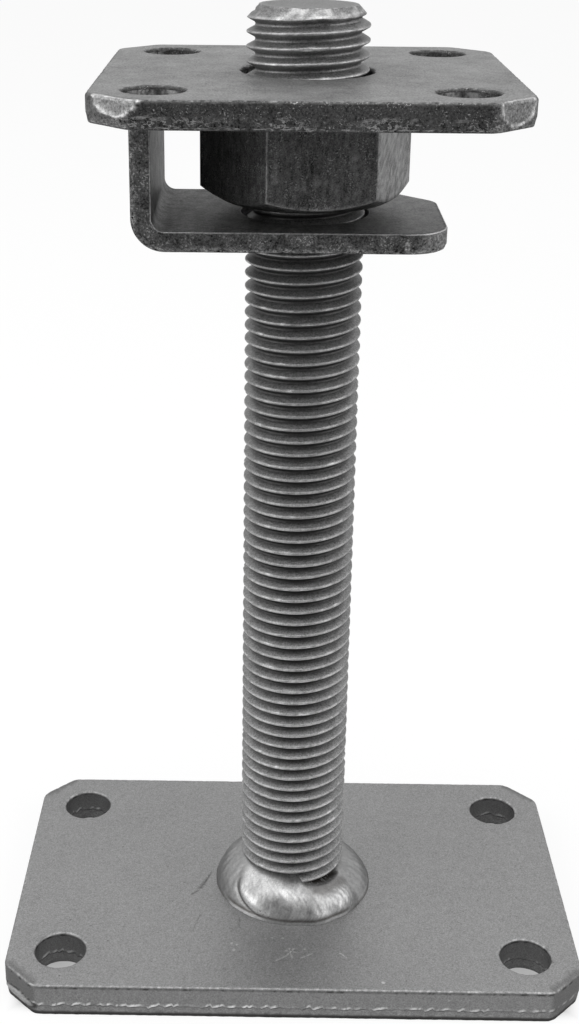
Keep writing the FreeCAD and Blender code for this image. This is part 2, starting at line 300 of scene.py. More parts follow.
stripZinc = dict(
    headZinc, faceTone=0.165, cutTone=0.105, brightTone=0.65, faceFlecks=0.3, cutFlecks=0.8, fleckFrom=0.56,
    fleckTone=0.5, fleckPatch=4.0, cloudSize=4.0, cloudDepth=0.35, tornDepth=0.7, grainDepth=0.6,
)
rodZinc = dict(
    plainZinc, faceTone=0.24, cutTone=0.3, brightTone=0.75, darkTone=0.03, cloudSize=14.0, cloudDepth=0.1,
    grainSize=0.45, grainDepth=0.5, faceRough=0.45, brightRough=0.35, bump=0.4, pitFrom=0.64,
)
weldBright = dict(
    plainZinc, faceTone=0.29, cutTone=0.09, brightTone=0.7, darkTone=0.03, darkWarmth=0.25, faceRough=0.38,
    brightRough=0.28, cloudSize=4.0, cloudDepth=0.08, grainSize=0.5, grainDepth=0.1, streakSize=1.2,
    streakDepth=0.12, streakRelief=0.5, facePits=0.2, bump=0.35,
)
nutBlack = dict(
    plainZinc, faceTone=0.125, cutTone=0.15, brightTone=0.5, darkTone=0.02, fleckTone=0.4, faceRough=0.42,
    cloudSize=7.0, cloudDepth=0.22, grainDepth=0.6, faceFlecks=0.9, fleckSize=0.38, fleckPatch=3.0,
    facePits=0.5, fleckFrom=0.56, streakSize=0.9, streakStretch=(1.0, 1.0, 0.2), streakDepth=0.35,
    metallic=0.9,
)


# Sheared and punched plates: the base plate, the head plate and the flat strip


# bands of a cut wall, from a row on the underside to one on the top, and the rows in each:
# shares of the band's height, or degrees round the rolled upper edge
wallBands = {
    "under": [0.0],
    "foot": [0.0],
    "low": [0.05, 0.12, 0.2, 0.35, 0.5, 0.65, 0.8, 0.94],
    "lip": [0.0, 0.5, 1.0],
    "high": [0.06, 0.18, 0.3, 0.42, 0.55, 0.68, 0.81, 0.93],
    "roll": [0, 18, 36, 54, 72, 90],
    "inner": [0.0],
}


def outlineLoop(corners, radii, step):  # places and outward normals, counterclockwise
    count = len(corners)
    corners = [Vector(corner) for corner in corners]
    arcs = []
    for i, corner in enumerate(corners):
        dirIn = (corner - corners[i - 1]).normalized()
        dirOut = (corners[(i + 1) % count] - corner).normalized()
        turn = math.atan2(dirIn.x * dirOut.y - dirIn.y * dirOut.x, dirIn.dot(dirOut))
        reach = radii[i] * math.tan(turn / 2)
        outward = Vector((dirIn.y, -dirIn.x))
        start = corner - dirIn * reach
        arcs.append((start, corner + dirOut * reach, start - outward * radii[i], outward, turn, radii[i]))
    loop = []
    for i, (start, end, centre, outward, turn, radius) in enumerate(arcs):
        lastEnd = arcs[i - 1][1]
        gap = start - lastEnd
        parts = max(1, round(gap.length / step))
        side = gap.normalized()
        for k in range(parts):
            loop.append((lastEnd + gap * (k / parts), Vector((side.y, -side.x))))
        parts = max(2, round(radius * turn / step))
        for k in range(parts):
            normal = Matrix.Rotation(turn * k / parts, 2) @ outward
            loop.append((centre + normal * radius, normal))
    return loop


def holeLoop(x, y, radius, step):  # clockwise, with the normal pointing into the hole
    parts = round(2 * math.pi * radius / step)
    loop = []
    for k in range(parts):
        normal = Vector((math.cos(-2 * math.pi * k / parts), math.sin(-2 * math.pi * k / parts)))
        loop.append((Vector((x, y)) + normal * radius, -normal))
    return loop


def tornSlivers(loop, look, seed):  # how far each place of the loop is lifted and stands out at the break
    chance = random.Random(seed)
    slivers = [(0.0, 0.0)] * len(loop)
    k = 0
    while k < len(loop):
        length = chance.randint(*look["sliverLength"])
        height = chance.uniform(*look["sliverHeight"])
        present = chance.random() < look["sliverShare"]
        for step in range(length):
            if k + step < len(loop) and present:
                t = (step + 0.5) / length
                slivers[k + step] = ((t - 0.5) * height, math.sin(math.pi * t) ** 0.6)
        k += length + chance.randint(*look["sliverGap"])
    return slivers


def rollSpot(spot, look, t, x, y, seed):  # the rolled upper edge, t degrees round it
    roll, angle = look["roll"], math.radians(t)
    dip = max(0.0, rough(x, y, 20 + seed, 1.2) + 0.1) * look["nick"]
    spot.inset = roll * (1 - math.cos(angle)) + dip * math.sin(2 * angle)
    spot.height = look["thickness"] - roll + roll * math.sin(angle)
    # painted highlight along the burr of the rolled edge, in patches, and painted shade along the lower part
    # of the roll, broken into nicks
    spot.burr = hill(t, look["burrAt"] + 14 * rough(x, y, 51, 2.1), look["burrWide"])
    bits = smooth(-0.2, 0.4, rough(x, y, 31, 1.0) + 0.5 * rough(x, y, 7, 0.5))
    bits *= lerp(look["rimPatch"], 1.0, smooth(-0.3, 0.3, rough(x, y, 90, 13.0)))
    spot.bright = look["rimBright"] * spot.burr * lerp(look["rimEven"], 1.0, bits)
    spot.bright *= lerp(1.0, look["rimEnd"], smooth(*look["endFrom"], x))
    nickedShade = smooth(0.0, 0.35, rough(x, y, 44, 1.7) + 0.4 * rough(x, y, 12, 0.6))
    spot.dark = look["rimShade"] * (0.35 + 0.65 * nickedShade) * (t < 30)
    spot.cut = 1.0 - smooth(*look["cutFade"], t + 30 * rough(x, y, 63, 1.3))


def wallSpot(look, band, t, x, y, sliver, lean, seed):  # one point of a sheared or punched wall
    lift, stand = sliver
    spot = SimpleNamespace(inset=0.0, height=0.0, bright=0.0, cut=1.0, dark=0.0, torn=0.0, burr=0.0)
    wander = rough(x, y, seed, 7.0) * look["breakWander"]
    wander += rough(x, y, seed + 5, 1.1) * look["breakJag"]
    breakAt = look["share"] * look["thickness"] + wander + lift
    if band == "under":
        spot.inset, spot.cut = lean + look["underRow"], 0.3
    elif band == "foot":
        # painted shade along the bottom edge
        spot.inset, spot.dark = lean + 0.18 + 0.1 * rough(x, y, 3, 1.3), look["footShade"]
    elif band == "low":
        spot.height = lerp(look["footLine"], breakAt - 0.1, t)
        spot.inset = lean * (1 - t) ** 0.7 + 0.05 + look["tear"] * rough(x, y, spot.height, 1.4)
        spot.torn = 1.0
        # painted shade above the foot, the painted shadow under the lip, and painted shade on the lower band,
        # which leans in
        dark = look["footShade"] * (1 - smooth(0.06, 0.34, t))
        dark += look["lipShadow"] * (0.5 + 0.5 * stand) * (t > 0.9)
        spot.dark = max(dark, look["lowShade"])
        spot.bright = look["footBright"] * (0.1 < t < 0.15) * smooth(-0.1, 0.5, rough(x, y, 70, 1.2))
    elif band == "lip":
        spot.height = breakAt + look["lipHeight"] * t
        spot.inset = 0.02 - look["sliverStand"] * stand * (1 - abs(t - 0.4))
        # painted glints on the slivers that stand out at the break, weaker towards +X
        glint = smooth(-0.5, 0.15, rough(x, y, 9, 0.9) + 0.6 * rough(x, y, 2, 3.5))
        fade = 1 - look["lipFade"] * smooth(-20, 60, x)
        spot.bright = look["lipBright"] * (0.1 + 0.9 * stand) * glint * fade
        spot.torn = 0.6
    elif band == "high":
        spot.height = lerp(breakAt + look["lipHeight"] + 0.15, look["thickness"] - look["roll"], t)
        spot.inset = look["shear"] * rough(x, y, spot.height * 0.4, 1.6)
    elif band == "roll":
        rollSpot(spot, look, t, x, y, seed)
    else:
        spot.inset, spot.height, spot.cut = look["roll"] + look["topRow"], look["thickness"], 0.0
        # painted light towards the lit end
        spot.bright = look["endLight"] * smooth(*look["endFrom"], x)
    return spot


def finishHole(spot, look, band, t, x, y, normal, hole):  # light streaks up a punched wall, with painted light on walls that face +X and painted glints, and painted shade on the wall
    onWall = band not in ("roll", "inner")
    streaks = rough(x, y, spot.height * 0.12, 0.8) + 0.6 * normal.x
    bright = max(spot.bright * look["holeBright"], look["holeStreakSheen"] * smooth(0.1, 0.6, streaks) * onWall)
    ragged = x + 0.5 * spot.height + 0.5 * rough(x, spot.height, look["seed"] + 10 + hole, 0.7)
    for middle, half, strength in look["wallGlints"].get(hole, []):
        bright = max(bright, strength * onWall * hill(ragged - 0.5 * look["thickness"], middle, half))
    spot.bright = bright
    if band in ("foot", "low") and t < 0.9:
        spot.dark = 0.0
    if band in ("low", "lip", "high"):
        spot.dark = max(spot.dark, look["holeShade"])


def scarAt(look, x, y, height):  # the scar at that place, and how far out in it: 1 is its rim
    for scar in look["scars"]:
        along = (Vector((x, y)) - Vector(scar["at"])).length
        up = look["thickness"] * scar["level"] - height
        out = math.hypot(along / scar["half"], up / scar["reach"])
        if out < 1.35:
            return scar, out
    return None, 2.0


def finishRim(spot, look, band, x, y, normal):  # cropped corners and scars of an outer wall
    height = spot.height
    facet = smooth(0.15, 0.4, abs(normal.x * normal.y))
    # the cropped corner facets: less of the cut tone and some painted shade, for how light falls on them, and
    # light speckle
    spot.cut *= lerp(1.0, look["cropCut"], facet)
    spot.dark = max(spot.dark, look["cropShade"] * facet)
    speckle = smooth(-0.2, 0.5, rough(x + height, y, height * 1.3, 0.7))
    spot.bright = max(spot.bright, look["cropBright"] * facet * speckle * (band != "under"))
    scar, out = scarAt(look, x, y, height)
    if scar and band not in ("inner", "under"):
        inside = 1 - smooth(0.8, 1.0, out)
        rim = hill(out, 0.96, 0.08) * smooth(-0.4, 0.3, rough(x, y, height, 0.9))
        dig = scar["depth"] * inside * (1 - 0.6 * out * out)
        spot.inset += dig + 0.12 * inside * rough(x, y, height, 0.5)
        mottle = 0.5 + 0.9 * rough(x + y + height, (x - height) * 0.35, look["seed"], 0.6)
        bright = max(spot.bright * (1 - inside), inside * scar["bright"] * mottle, rim * scar["rim"])
        spot.bright = max(bright, inside * scar["rim"] * spot.burr)
        spot.dark = max(spot.dark * (1 - inside), scar["outline"] * hill(out, 1.0, 0.13))
        spot.cut *= 1 - scar["bare"] * inside
        spot.torn *= 1 - inside


def wallRows(shape, loop, look, hole=None):  # of the outline, or of the hole with that number
    seed = look["seed"] if hole is None else look["seed"] + 10 + hole
    lean, skin = (look["lean"], look["skin"]) if hole is None else (0.0, 0.0)
    slivers = tornSlivers(loop, look, seed)
    rows = []
    for band, t in [(band, t) for band, steps in wallBands.items() for t in steps]:
        row = []
        for (place, normal), sliver in zip(loop, slivers):
            x, y = place
            spot = wallSpot(look, band, t, x, y, sliver, lean, seed)
            if hole is None:
                finishRim(spot, look, band, x, y, normal)
            else:
                finishHole(spot, look, band, t, x, y, normal, hole)
            at = place - normal * (spot.inset + skin)
            row.append(addVert(shape, (at.x, at.y, spot.height), spot.bright, spot.cut, spot.dark, spot.torn))
        rows.append(row)
    addRows(shape, rows)
    return rows[0], rows[-1]


def crossesHole(place, holes, grow):
    return any((place - Vector((x, y))).length < radius + grow for x, y, radius in holes)


def insideConvex(place, loop, margin):
    checked = loop[:: max(1, len(loop) // 160)]
    return all((place - at).dot(normal) < -margin for at, normal in checked)


def gridPlaces(look, outline, pitch, rim):  # uneven triangular grid over the face, clear of its rims
    xs, ys = [at.x for at, normal in outline], [at.y for at, normal in outline]
    chance, jitter = random.Random(look["seed"]), look["jitter"]
    places = []
    for i in range(int((max(xs) - min(xs)) / pitch)):
        for j in range(int((max(ys) - min(ys)) / pitch)):
            x = min(xs) + (i + 0.5 + 0.5 * (j % 2) + chance.uniform(-jitter, jitter)) * pitch
            y = min(ys) + (j + 0.5 + chance.uniform(-jitter, jitter)) * pitch
            place = Vector((x, y))
            clear = not crossesHole(place, look["holes"], rim + pitch * 0.5)
            if clear and insideConvex(place, outline, rim + pitch * 0.6):
                places.append(place)
    return places


def scratchMarks(look):  # extra vertices of the face: place, sink, bright, dark
    marks = []
    for path, width, bright, dark in look["scratches"]:
        points = [Vector(point) for point in path]
        for start, end in zip(points, points[1:]):
            along = end - start
            side = Vector((-along.y, along.x)).normalized() * width
            parts = max(2, round(along.length / look["scratchStep"]))
            for k in range(parts):
                at = start + along * (k / parts)
                fade = 0.65 + 0.35 * rough(at.x, at.y, 3, 0.6)
                marks.append((at, look["scratchSink"], bright * fade, dark * fade))
                marks += [(at + side, 0.0, 0.0, 0.0), (at - side, 0.0, 0.0, 0.0)]
    for x, y, radius, bright, dark in look["specks"]:
        marks.append((Vector((x, y)), look["speckSink"], bright, dark))
        for k in range(7):
            ring = Vector((math.cos(k * 0.9), math.sin(k * 0.9))) * radius
            marks.append((Vector((x, y)) + ring, 0.0, 0.0, 0.0))
    return marks


def capFace(shape, rims, look, outline, faceUp):  # triangles between the walls, on the top or the underside
    pitch, level = (look["grid"], look["thickness"]) if faceUp else (look["underGrid"], 0.0)
    rimWide = look["roll"] + look["topRow"] + look["skin"]
    ids, coords, edges = [], [], []
    for rim in rims:
        first = len(ids)
        ids += rim
        coords += [shape["verts"][vert].xy for vert in rim]
        edges += [(first + k, first + (k + 1) % len(rim)) for k in range(len(rim))]
    inner = [(place, 0.0, 0.0, 0.0) for place in gridPlaces(look, outline, pitch, rimWide)]
    for place, sink, bright, dark in inner + (scratchMarks(look) if faceUp else []):
        sway = look["sway"] * rough(place.x, place.y, 60, 11.0) if faceUp else 0.0
        # painted light towards the lit end
        bright = max(bright, look["endLight"] * smooth(*look["endFrom"], place.x))
        ids.append(addVert(shape, (place.x, place.y, level - abs(sway) - sink), bright, 0.0, dark))
        coords.append(place)
    result = delaunay_2d_cdt(coords, edges, [], 0, 1e-6)
    places, faces, origins = result[0], result[2], result[3]
    for face in faces:
        middle = sum((places[k] for k in face), Vector((0, 0))) / 3
        outside = not insideConvex(middle, outline, rimWide * 0.9)
        if outside or crossesHole(middle, look["holes"], rimWide * 0.9):
            continue
        a, b, c = (ids[origins[k][0]] for k in face)
        va, vb, vc = (shape["verts"][k] for k in (a, b, c))
        ccw = (vb - va).cross(vc - va).z > 0
        shape["faces"].append((a, b, c) if ccw == faceUp else (a, c, b))


def platePiece(look, bend=None):
    shape = newShape()
    outline = outlineLoop(look["corners"], look["radii"], look["step"])
    walls = [wallRows(shape, outline, look)]
    for hole, (x, y, radius) in enumerate(look["holes"]):
        walls.append(wallRows(shape, holeLoop(x, y, radius, look["step"]), look, hole))
    bottoms, tops = zip(*walls)
    capFace(shape, tops, look, outline, True)
    capFace(shape, bottoms, look, outline, False)
    for vert in shape["verts"]:
        vert.xyz = bend(vert) if bend else (vert.x, vert.y, vert.z + look["lift"])
    return shape


def cropped(halfX, halfY, crop):
    return [
        (-halfX + crop, -halfY), (halfX - crop, -halfY), (halfX, -halfY + crop), (halfX, halfY - crop),
        (halfX - crop, halfY), (-halfX + crop, halfY), (-halfX, halfY - crop), (-halfX, -halfY + crop),
    ]


def patternHoles(mount):
    dims = mounts[mount]["dims"]
    halfX, halfY = dims["spacing_x_mm"] / 2, dims["spacing_y_mm"] / 2
    return [(x, y, dims["hole_r_mm"]) for x in (-halfX, halfX) for y in (-halfY, halfY)]


baseLow, baseHigh = nodeBox("base_plate")
basePlate = {
    "seed": 11,
    "corners": cropped(baseHigh.x, baseHigh.y, 9.0), "radii": [5.0] * 8,
    "holes": patternHoles("base_bolts"),
    "thickness": baseHigh.z - baseLow.z, "lift": baseLow.z,
    # the rolled edge, the broken share of the wall and its lean, and what the plate keeps back
    # for its roughness
    "roll": 0.8, "share": 0.37, "lean": 0.4, "skin": 0.1,
    "step": 0.5, "grid": 1.5, "underGrid": 5.0, "topRow": 0.5, "underRow": 0.7, "jitter": 0.12,
    "sway": 0.03,
    "breakWander": 0.35, "breakJag": 0.25, "tear": 0.07, "shear": 0.02, "lipShadow": 0.9, "lowShade": 0.05,
    "sliverLength": (3, 8), "sliverGap": (0, 4), "sliverHeight": (0.4, 1.3), "sliverShare": 0.85,
    "sliverStand": 0.1, "lipBright": 0.95, "lipHeight": 0.4, "lipFade": 0.35,
    "footShade": 1.0, "footLine": 0.65, "footBright": 0.0,
    "rimBright": 0.6, "rimEven": 0.0, "rimPatch": 0.35, "rimShade": 0.85, "burrAt": 50.0, "burrWide": 22.0,
    "nick": 0.2,
    "cutFade": (40, 80), "holeBright": 0.8, "holeStreakSheen": 0.0, "holeShade": 0.05, "wallGlints": {},
    "cropCut": 1.0, "cropShade": 0.4, "cropBright": 0.0,
    "endFrom": (1000.0, 2000.0), "endLight": 0.0, "rimEnd": 1.0,  # painted light on one end of a plate, on its face and its rim
    "scars": [
        {"at": (-75.6, -45.4), "level": 0.3, "half": 6.8, "reach": 1.8, "depth": -0.3,
         "bright": 0.3, "rim": 0.0, "outline": 1.0, "bare": 1.0},
    ],
    "scratchStep": 0.35, "scratchSink": 0.05, "speckSink": 0.06,
    # path, half width, bright, dark
    "scratches": [
        ([(-24.2, 0.5), (-25.4, -3.0)], 0.55, 0.0, 0.95),
        ([(-25.9, -4.2), (-27.1, -6.9)], 0.95, 0.0, 1.0),
        ([(-27.7, -8.0), (-29.6, -9.8)], 0.5, 0.0, 0.9),
        ([(-0.9, -33.0), (-0.6, -34.6), (-0.1, -37.3)], 0.42, 1.0, 0.0),
        ([(0.3, -33.2), (-1.4, -35.6)], 0.45, 1.0, 0.0),
        ([(-0.6, -34.6), (-1.9, -36.3), (-4.7, -38.3)], 0.42, 0.95, 0.0),
        ([(-1.8, -34.1), (1.3, -34.7)], 0.42, 0.9, 0.0),
        ([(2.4, -36.9), (5.6, -35.1)], 0.4, 0.8, 0.0),
        ([(13.3, -34.8), (15.2, -36.7)], 0.38, 0.8, 0.0),
        ([(-26.6, -19.2), (-28.4, -26.3)], 0.35, 0.0, 0.45),
        ([(-15.1, -20.7), (-15.2, -24.3)], 0.35, 0.0, 0.5),
    ],
    # x, y, radius, bright, dark
    "specks": [
        (-63.8, -22.1, 0.5, 0.0, 0.7), (-57.7, -24.6, 0.5, 0.0, 0.6), (-52.2, -31.0, 0.55, 0.0, 0.8),
        (-63.9, -45.6, 0.45, 0.0, 0.7), (-42.1, -7.6, 0.4, 0.0, 0.6), (-34.9, -13.0, 0.45, 0.0, 0.6),
        (-38.5, -15.8, 0.4, 0.0, 0.6), (54.7, -10.6, 0.45, 0.0, 0.6), (-0.6, -34.7, 0.65, 1.0, 0.0),
        (-17.2, -31.3, 0.6, 0.6, 0.0), (-15.7, -31.8, 0.55, 0.6, 0.0), (-16.4, -34.1, 0.65, 0.5, 0.0),
        (-5.7, -28.6, 0.6, 0.6, 0.0), (-2.7, -28.6, 0.65, 0.65, 0.0), (-7.6, -29.0, 0.55, 0.5, 0.0),
        (3.4, -33.3, 0.6, 0.65, 0.0), (2.1, -31.4, 0.55, 0.5, 0.0), (13.3, -34.8, 0.7, 0.9, 0.0),
        (24.6, -46.5, 0.7, 0.9, 0.0),
    ],
}

headLow, headHigh = nodeBox("head_plate")
stripLow, stripHigh = nodeBox("bracket")
rodLow, rodHigh = nodeBox("threaded_rod")
nutLow, nutHigh = nodeBox("hex_nut")
rodRadius = rodHigh.x
guideRadius = rodRadius + 1.0  # the rod's holes in the head plate and the strip

headPlate = dict(
    basePlate,
    seed=23,
    corners=cropped(headHigh.x, headHigh.y, 10.0), radii=[5.0] * 8,
    holes=patternHoles("head_screws") + [(0.0, 0.0, guideRadius)],
    thickness=headHigh.z - headLow.z, lift=headLow.z,
    step=0.45, grid=1.3, underGrid=3.0, sway=0.05,
    breakWander=0.3, breakJag=0.25, tear=0.16, shear=0.08, lipShadow=0.3,
    sliverLength=(2, 7), sliverGap=(1, 12), sliverHeight=(0.1, 0.6), sliverShare=0.4,
    sliverStand=0.08, lipBright=0.25, lipFade=0.0, footShade=0.0, footLine=0.25, footBright=0.75, lowShade=0.0,
    rimBright=0.45, rimShade=0.8, burrAt=60.0, burrWide=14.0, nick=0.4, cutFade=(45, 95),
    holeBright=0.6, holeStreakSheen=0.45, holeShade=0.2, cropCut=0.7, cropShade=0.1,
    # hole: place across it, half width and strength of each painted glint on its wall
    wallGlints={0: [(-31.8, 1.3, 0.9), (-38.6, 0.35, 0.7), (-37.6, 0.25, 0.6), (-34.4, 0.3, 0.5)],
                2: [(31.5, 0.8, 0.7), (36.0, 1.2, 0.8)]},
    scars=[
        {"at": (-43.4, -46.8), "level": 1.0, "half": 7.0, "reach": 4.2, "depth": 0.7,
         "bright": 0.14, "rim": 1.0, "outline": 0.0, "bare": 0.65},
        {"at": (45.6, -45.6), "level": 0.8, "half": 6.2, "reach": 4.5, "depth": 0.5,
         "bright": 0.1, "rim": 1.0, "outline": 0.0, "bare": 0.4},
    ],
    scratches=[],
    specks=[],
)


# The strip is cut flat, then bent: a leg, a quarter bend and the tab

stripWidth = stripHigh.y - stripLow.y
strip = {
    "thickness": 5.0, "bendRadius": 3.0, "legReach": 36.8,
    "frontRound": 10.0, "backCrop": 13.0, "cropRound": 6.0,
}
tabTop = stripLow.z + strip["thickness"]
legLength = headLow.z - tabTop - strip["bendRadius"]
bendLength = (strip["bendRadius"] + strip["thickness"] / 2) * math.pi / 2
bendCentre = Vector((-strip["legReach"] + strip["bendRadius"], tabTop + strip["bendRadius"]))
tabStart = legLength + bendLength
stripLength = tabStart + stripHigh.x - bendCentre.x


def bendStrip(vert):
    along, across, up = vert
    if along < legLength:
        return (-strip["legReach"] - strip["thickness"] + up, across, headLow.z - along)
    if along > tabStart:
        return (bendCentre.x + along - tabStart, across, stripLow.z + up)
    angle = (along - legLength) / bendLength * math.pi / 2
    radius = strip["bendRadius"] + strip["thickness"] - up
    return (bendCentre.x - radius * math.cos(angle), across, bendCentre.y - radius * math.sin(angle))


halfStrip = stripWidth / 2
bracketStrip = dict(
    headPlate,
    seed=37,
    corners=[
        (0.0, -halfStrip), (stripLength, -halfStrip), (stripLength, halfStrip - strip["backCrop"]),
        (stripLength - strip["backCrop"], halfStrip), (0.0, halfStrip),
    ],
    radii=[1.2, strip["frontRound"], strip["cropRound"], strip["cropRound"], 1.2],
    holes=[(tabStart - bendCentre.x, 0.0, guideRadius)],
    thickness=strip["thickness"],
    roll=0.5, share=0.2, lean=0.3, step=0.4, grid=0.9, underGrid=0.9, sway=0.03,
    tear=0.12, shear=0.06, rimBright=1.0, rimEven=0.75, rimShade=0.2, burrAt=48.0, burrWide=20.0, nick=0.08,
    lipBright=0.35, cropCut=0.6, cropShade=0.0, cropBright=0.4, lipHeight=0.25, holeStreakSheen=0.1, holeShade=0.6,
    wallGlints={}, endFrom=(stripLength - 30.0, stripLength - 6.0), endLight=0.24, rimEnd=1.3,
    scars=[
        {"at": (stripLength - strip["frontRound"] - 0.4, -halfStrip), "level": 0.4, "half": 0.5, "reach": 1.3,
         "depth": 0.4, "bright": 0.9, "rim": 0.7, "outline": 0.0, "bare": 1.0},
    ],
)


# Thread shared by the rod and the nut

thread = {
    "pitch": 3.5, "rootRadius": 12.85, "rootAt": 10.651,  # height of the root on the +X side
    "columns": 84, "flankAngle": 60.0, "rootRound": 0.3, "rootBlend": 0.35, "soften": 0.6,
    # rounding of the rod's crests under and above the head plate, and of the nut's, which has play
    "crestRound": (0.36, 0.22), "nutRound": 0.4, "nutPlay": 0.06,
    # rows of one turn, as shares of the pitch from the root
    "rows": [0.0, 0.07, 0.14, 0.25, 0.36, 0.42, 0.46, 0.5, 0.54, 0.58, 0.64, 0.75, 0.86, 0.93],
}


def threadRadius(share, crestRound):  # straight flanks, rounded crest and root
    away = abs(share - 0.5) * thread["pitch"]  # from the middle of the crest
    slope = math.tan(math.radians(thread["flankAngle"]))
    flank = rodRadius - (away - thread["pitch"] / 16) * slope
    crest = rodRadius - away * away / (2 * crestRound) * thread["soften"]
    fromRoot = thread["pitch"] / 2 - away
    root = thread["rootRadius"] + fromRoot * fromRoot / (2 * thread["rootRound"]) * thread["soften"]
    if flank < thread["rootRadius"] + thread["rootBlend"]:
        return max(min(flank, crest), min(root, rodRadius))
    return min(flank, crest)


def helixRows(shape, low, high, radiusOf, inward=False):
    columns, pitch, shares = thread["columns"], thread["pitch"], thread["rows"]
    firstTurn = math.floor((low - thread["rootAt"]) / pitch) - 1
    lastTurn = math.ceil((high - thread["rootAt"]) / pitch) + 1
    rows = []
    for turn in range(firstTurn, lastTurn):
        for share in shares:
            row = []
            for column in range(columns + 1):
                angle = 2 * math.pi * column / columns
                height = thread["rootAt"] + pitch * (turn + share + column / columns)
                level = min(max(height, low), high)
                radius, bright, dark = radiusOf(angle, level, share, height)
                row.append(addVert(shape, polar(radius, angle, level), bright, 0.0, dark))
            rows.append(row)
    for lower, upper in zip(rows, rows[1:]):
        first, second = (upper, lower) if inward else (lower, upper)
        addBand(shape, first, second, closed=False)


rod = {
    "chamfer": 3.0, "coneWaver": 0.22, "coneBack": 0.1, "capRings": [11.4, 10.0, 7.0, 3.5, 1.2],
    # the free end's dent: direction, half width, depth, and how far down it fades out
    "dentAngle": -80.0, "dentWidth": 9.0, "dentDepth": 0.8, "dentFade": (2.5, 5.5),
    # knocks along the crests, the painted highlight line on them and the painted shade in the
    # grooves; the fades are heights, or distances from the free end
    "knockFrom": (0.4, 0.75), "knockDepth": 0.35, "crestWaver": 0.05,
    "crestHighlight": 0.85, "shineFade": (40, 200), "endBright": 0.8, "endFade": (0.8, 3.4),
    "grooveShade": 0.97, "flankShade": 0.95, "shadeFade": (90, 200),
    "weldShade": 0.65, "weldFade": (19, 23),
}


def rodSurface(angle, level, share, height):
    x, y = math.cos(angle) * rodRadius, math.sin(angle) * rodRadius
    above = smooth(headLow.z - 4, headHigh.z + 2, level)
    radius = threadRadius(share, lerp(*thread["crestRound"], above))
    crest = between((0.36, 0.46), (0.54, 0.64), share)
    wear = rough(x, y, height * 0.9, 2.3) + 0.5 * rough(x, y, height, 0.8)
    knock = smooth(*rod["knockFrom"], wear) * crest
    radius -= knock * rod["knockDepth"] + rod["crestWaver"] * rough(x, y, height, 1.2) * crest
    fromEnd = rodHigh.z - level
    if fromEnd < 0.01:
        cone, dent = rodRadius - rod["chamfer"], 0.0
    else:
        cone = rodRadius - rod["chamfer"] + fromEnd
        cone += rod["coneWaver"] * rough(x, y, level, 3.0) - rod["coneBack"]
        turnOff = math.degrees(angle) - 360 - rod["dentAngle"]
        dent = hill(turnOff, 0.0, rod["dentWidth"]) * rod["dentDepth"]
        dent *= 1 - smooth(*rod["dentFade"], fromEnd)
    radius = min(radius - dent, cone)
    if level <= rodLow.z + 0.001:
        radius = thread["rootRadius"]
    line = between((0.38, 0.47), (0.52, 0.6), share)
    # the painted highlight dims higher up, where the head plate shades the rod, and brightens above the plate
    shine = lerp(1.0, 0.5, smooth(*rod["shineFade"], level)) + 0.3 * above
    bright = (line * (0.6 + 0.95 * rough(x, y, height, 1.2)) * rod["crestHighlight"] + knock) * shine
    endWorn = rod["endBright"] * (1 - smooth(*rod["endFade"], fromEnd))
    bright = max(bright, endWorn * smooth(-0.1, 0.5, rough(x, y, level, 2.6)))
    # painted shade in the grooves and on the flank under each crest, easing off higher up and above the head
    # plate
    dark = rod["grooveShade"] * (1 - smooth(0.14, 0.4, share))
    dark = max(dark, rod["flankShade"] * smooth(0.78, 0.94, share))
    dark *= lerp(1.0, 0.8, smooth(*rod["shadeFade"], level)) * (1 - 0.8 * above)
    # less painted shade in the grooves on the left, where the bead meets the rod
    nearWeld = (1 - smooth(*rod["weldFade"], level)) * (1 - smooth(-2, 4, x))
    dark *= 1 - rod["weldShade"] * nearWeld
    return radius, bright, dark


def threadedRod():
    shape = newShape()
    helixRows(shape, rodLow.z, rodHigh.z, rodSurface)
    ring = [math.radians(360 * k / thread["columns"]) for k in range(thread["columns"])]

    def circle(radius, level, *marks):
        return [addVert(shape, polar(radius, angle, level), *marks) for angle in ring]

    radii = [rodRadius - rod["chamfer"]] + rod["capRings"]
    rows = [circle(radius, rodHigh.z, 0.1 * (radius > 11), 0.15, 0.0) for radius in radii]
    addRows(shape, rows)
    addFan(shape, rows[-1], addVert(shape, (0, 0, rodHigh.z), 0.0, 0.15, 0.0))
    under = circle(thread["rootRadius"], rodLow.z)
    addFan(shape, under[::-1], addVert(shape, (0, 0, rodLow.z)))
    return shape


# Hex nut

nut = {
    "flats": 46.0, "face": 42.8, "bevel": 30.0, "mouth": 32.4, "turn": 8.6, "cornerRound": 0.7,
    # rows up a side, columns across it, and the degrees of the closer ones at its corners
    "sideRows": 20, "sideColumns": 28, "cornerColumns": (0.35, 0.8, 59.2, 59.65),
    "cornerBright": 0.9, "cornerWide": 0.45, "boreBright": 0.15, "boreDark": 0.2, "boreCut": 0.25,
    "paleLitSide": 338.6, "paleLitShare": 0.5,  # the direction and strength of the one side that is lighter: a paler patina, and painted light on that side
    # x, height above the nut's foot, half width, half height and strength of each scuff on the front
    "scuffs": [
        (-1.2, 6.6, 1.6, 0.9, 0.35), (1.8, 7.7, 1.8, 0.8, 0.4), (4.9, 7.2, 1.7, 0.9, 0.35),
        (7.0, 5.4, 1.2, 1.2, 0.35), (10.2, 4.0, 1.8, 1.3, 0.35), (11.0, 12.5, 1.2, 3.5, 0.3),
        (13.5, 8.0, 0.8, 3.0, 0.25), (-7.5, 8.5, 1.2, 5.0, 0.25), (-3.5, 14.0, 1.0, 3.5, 0.15),
    ],
}


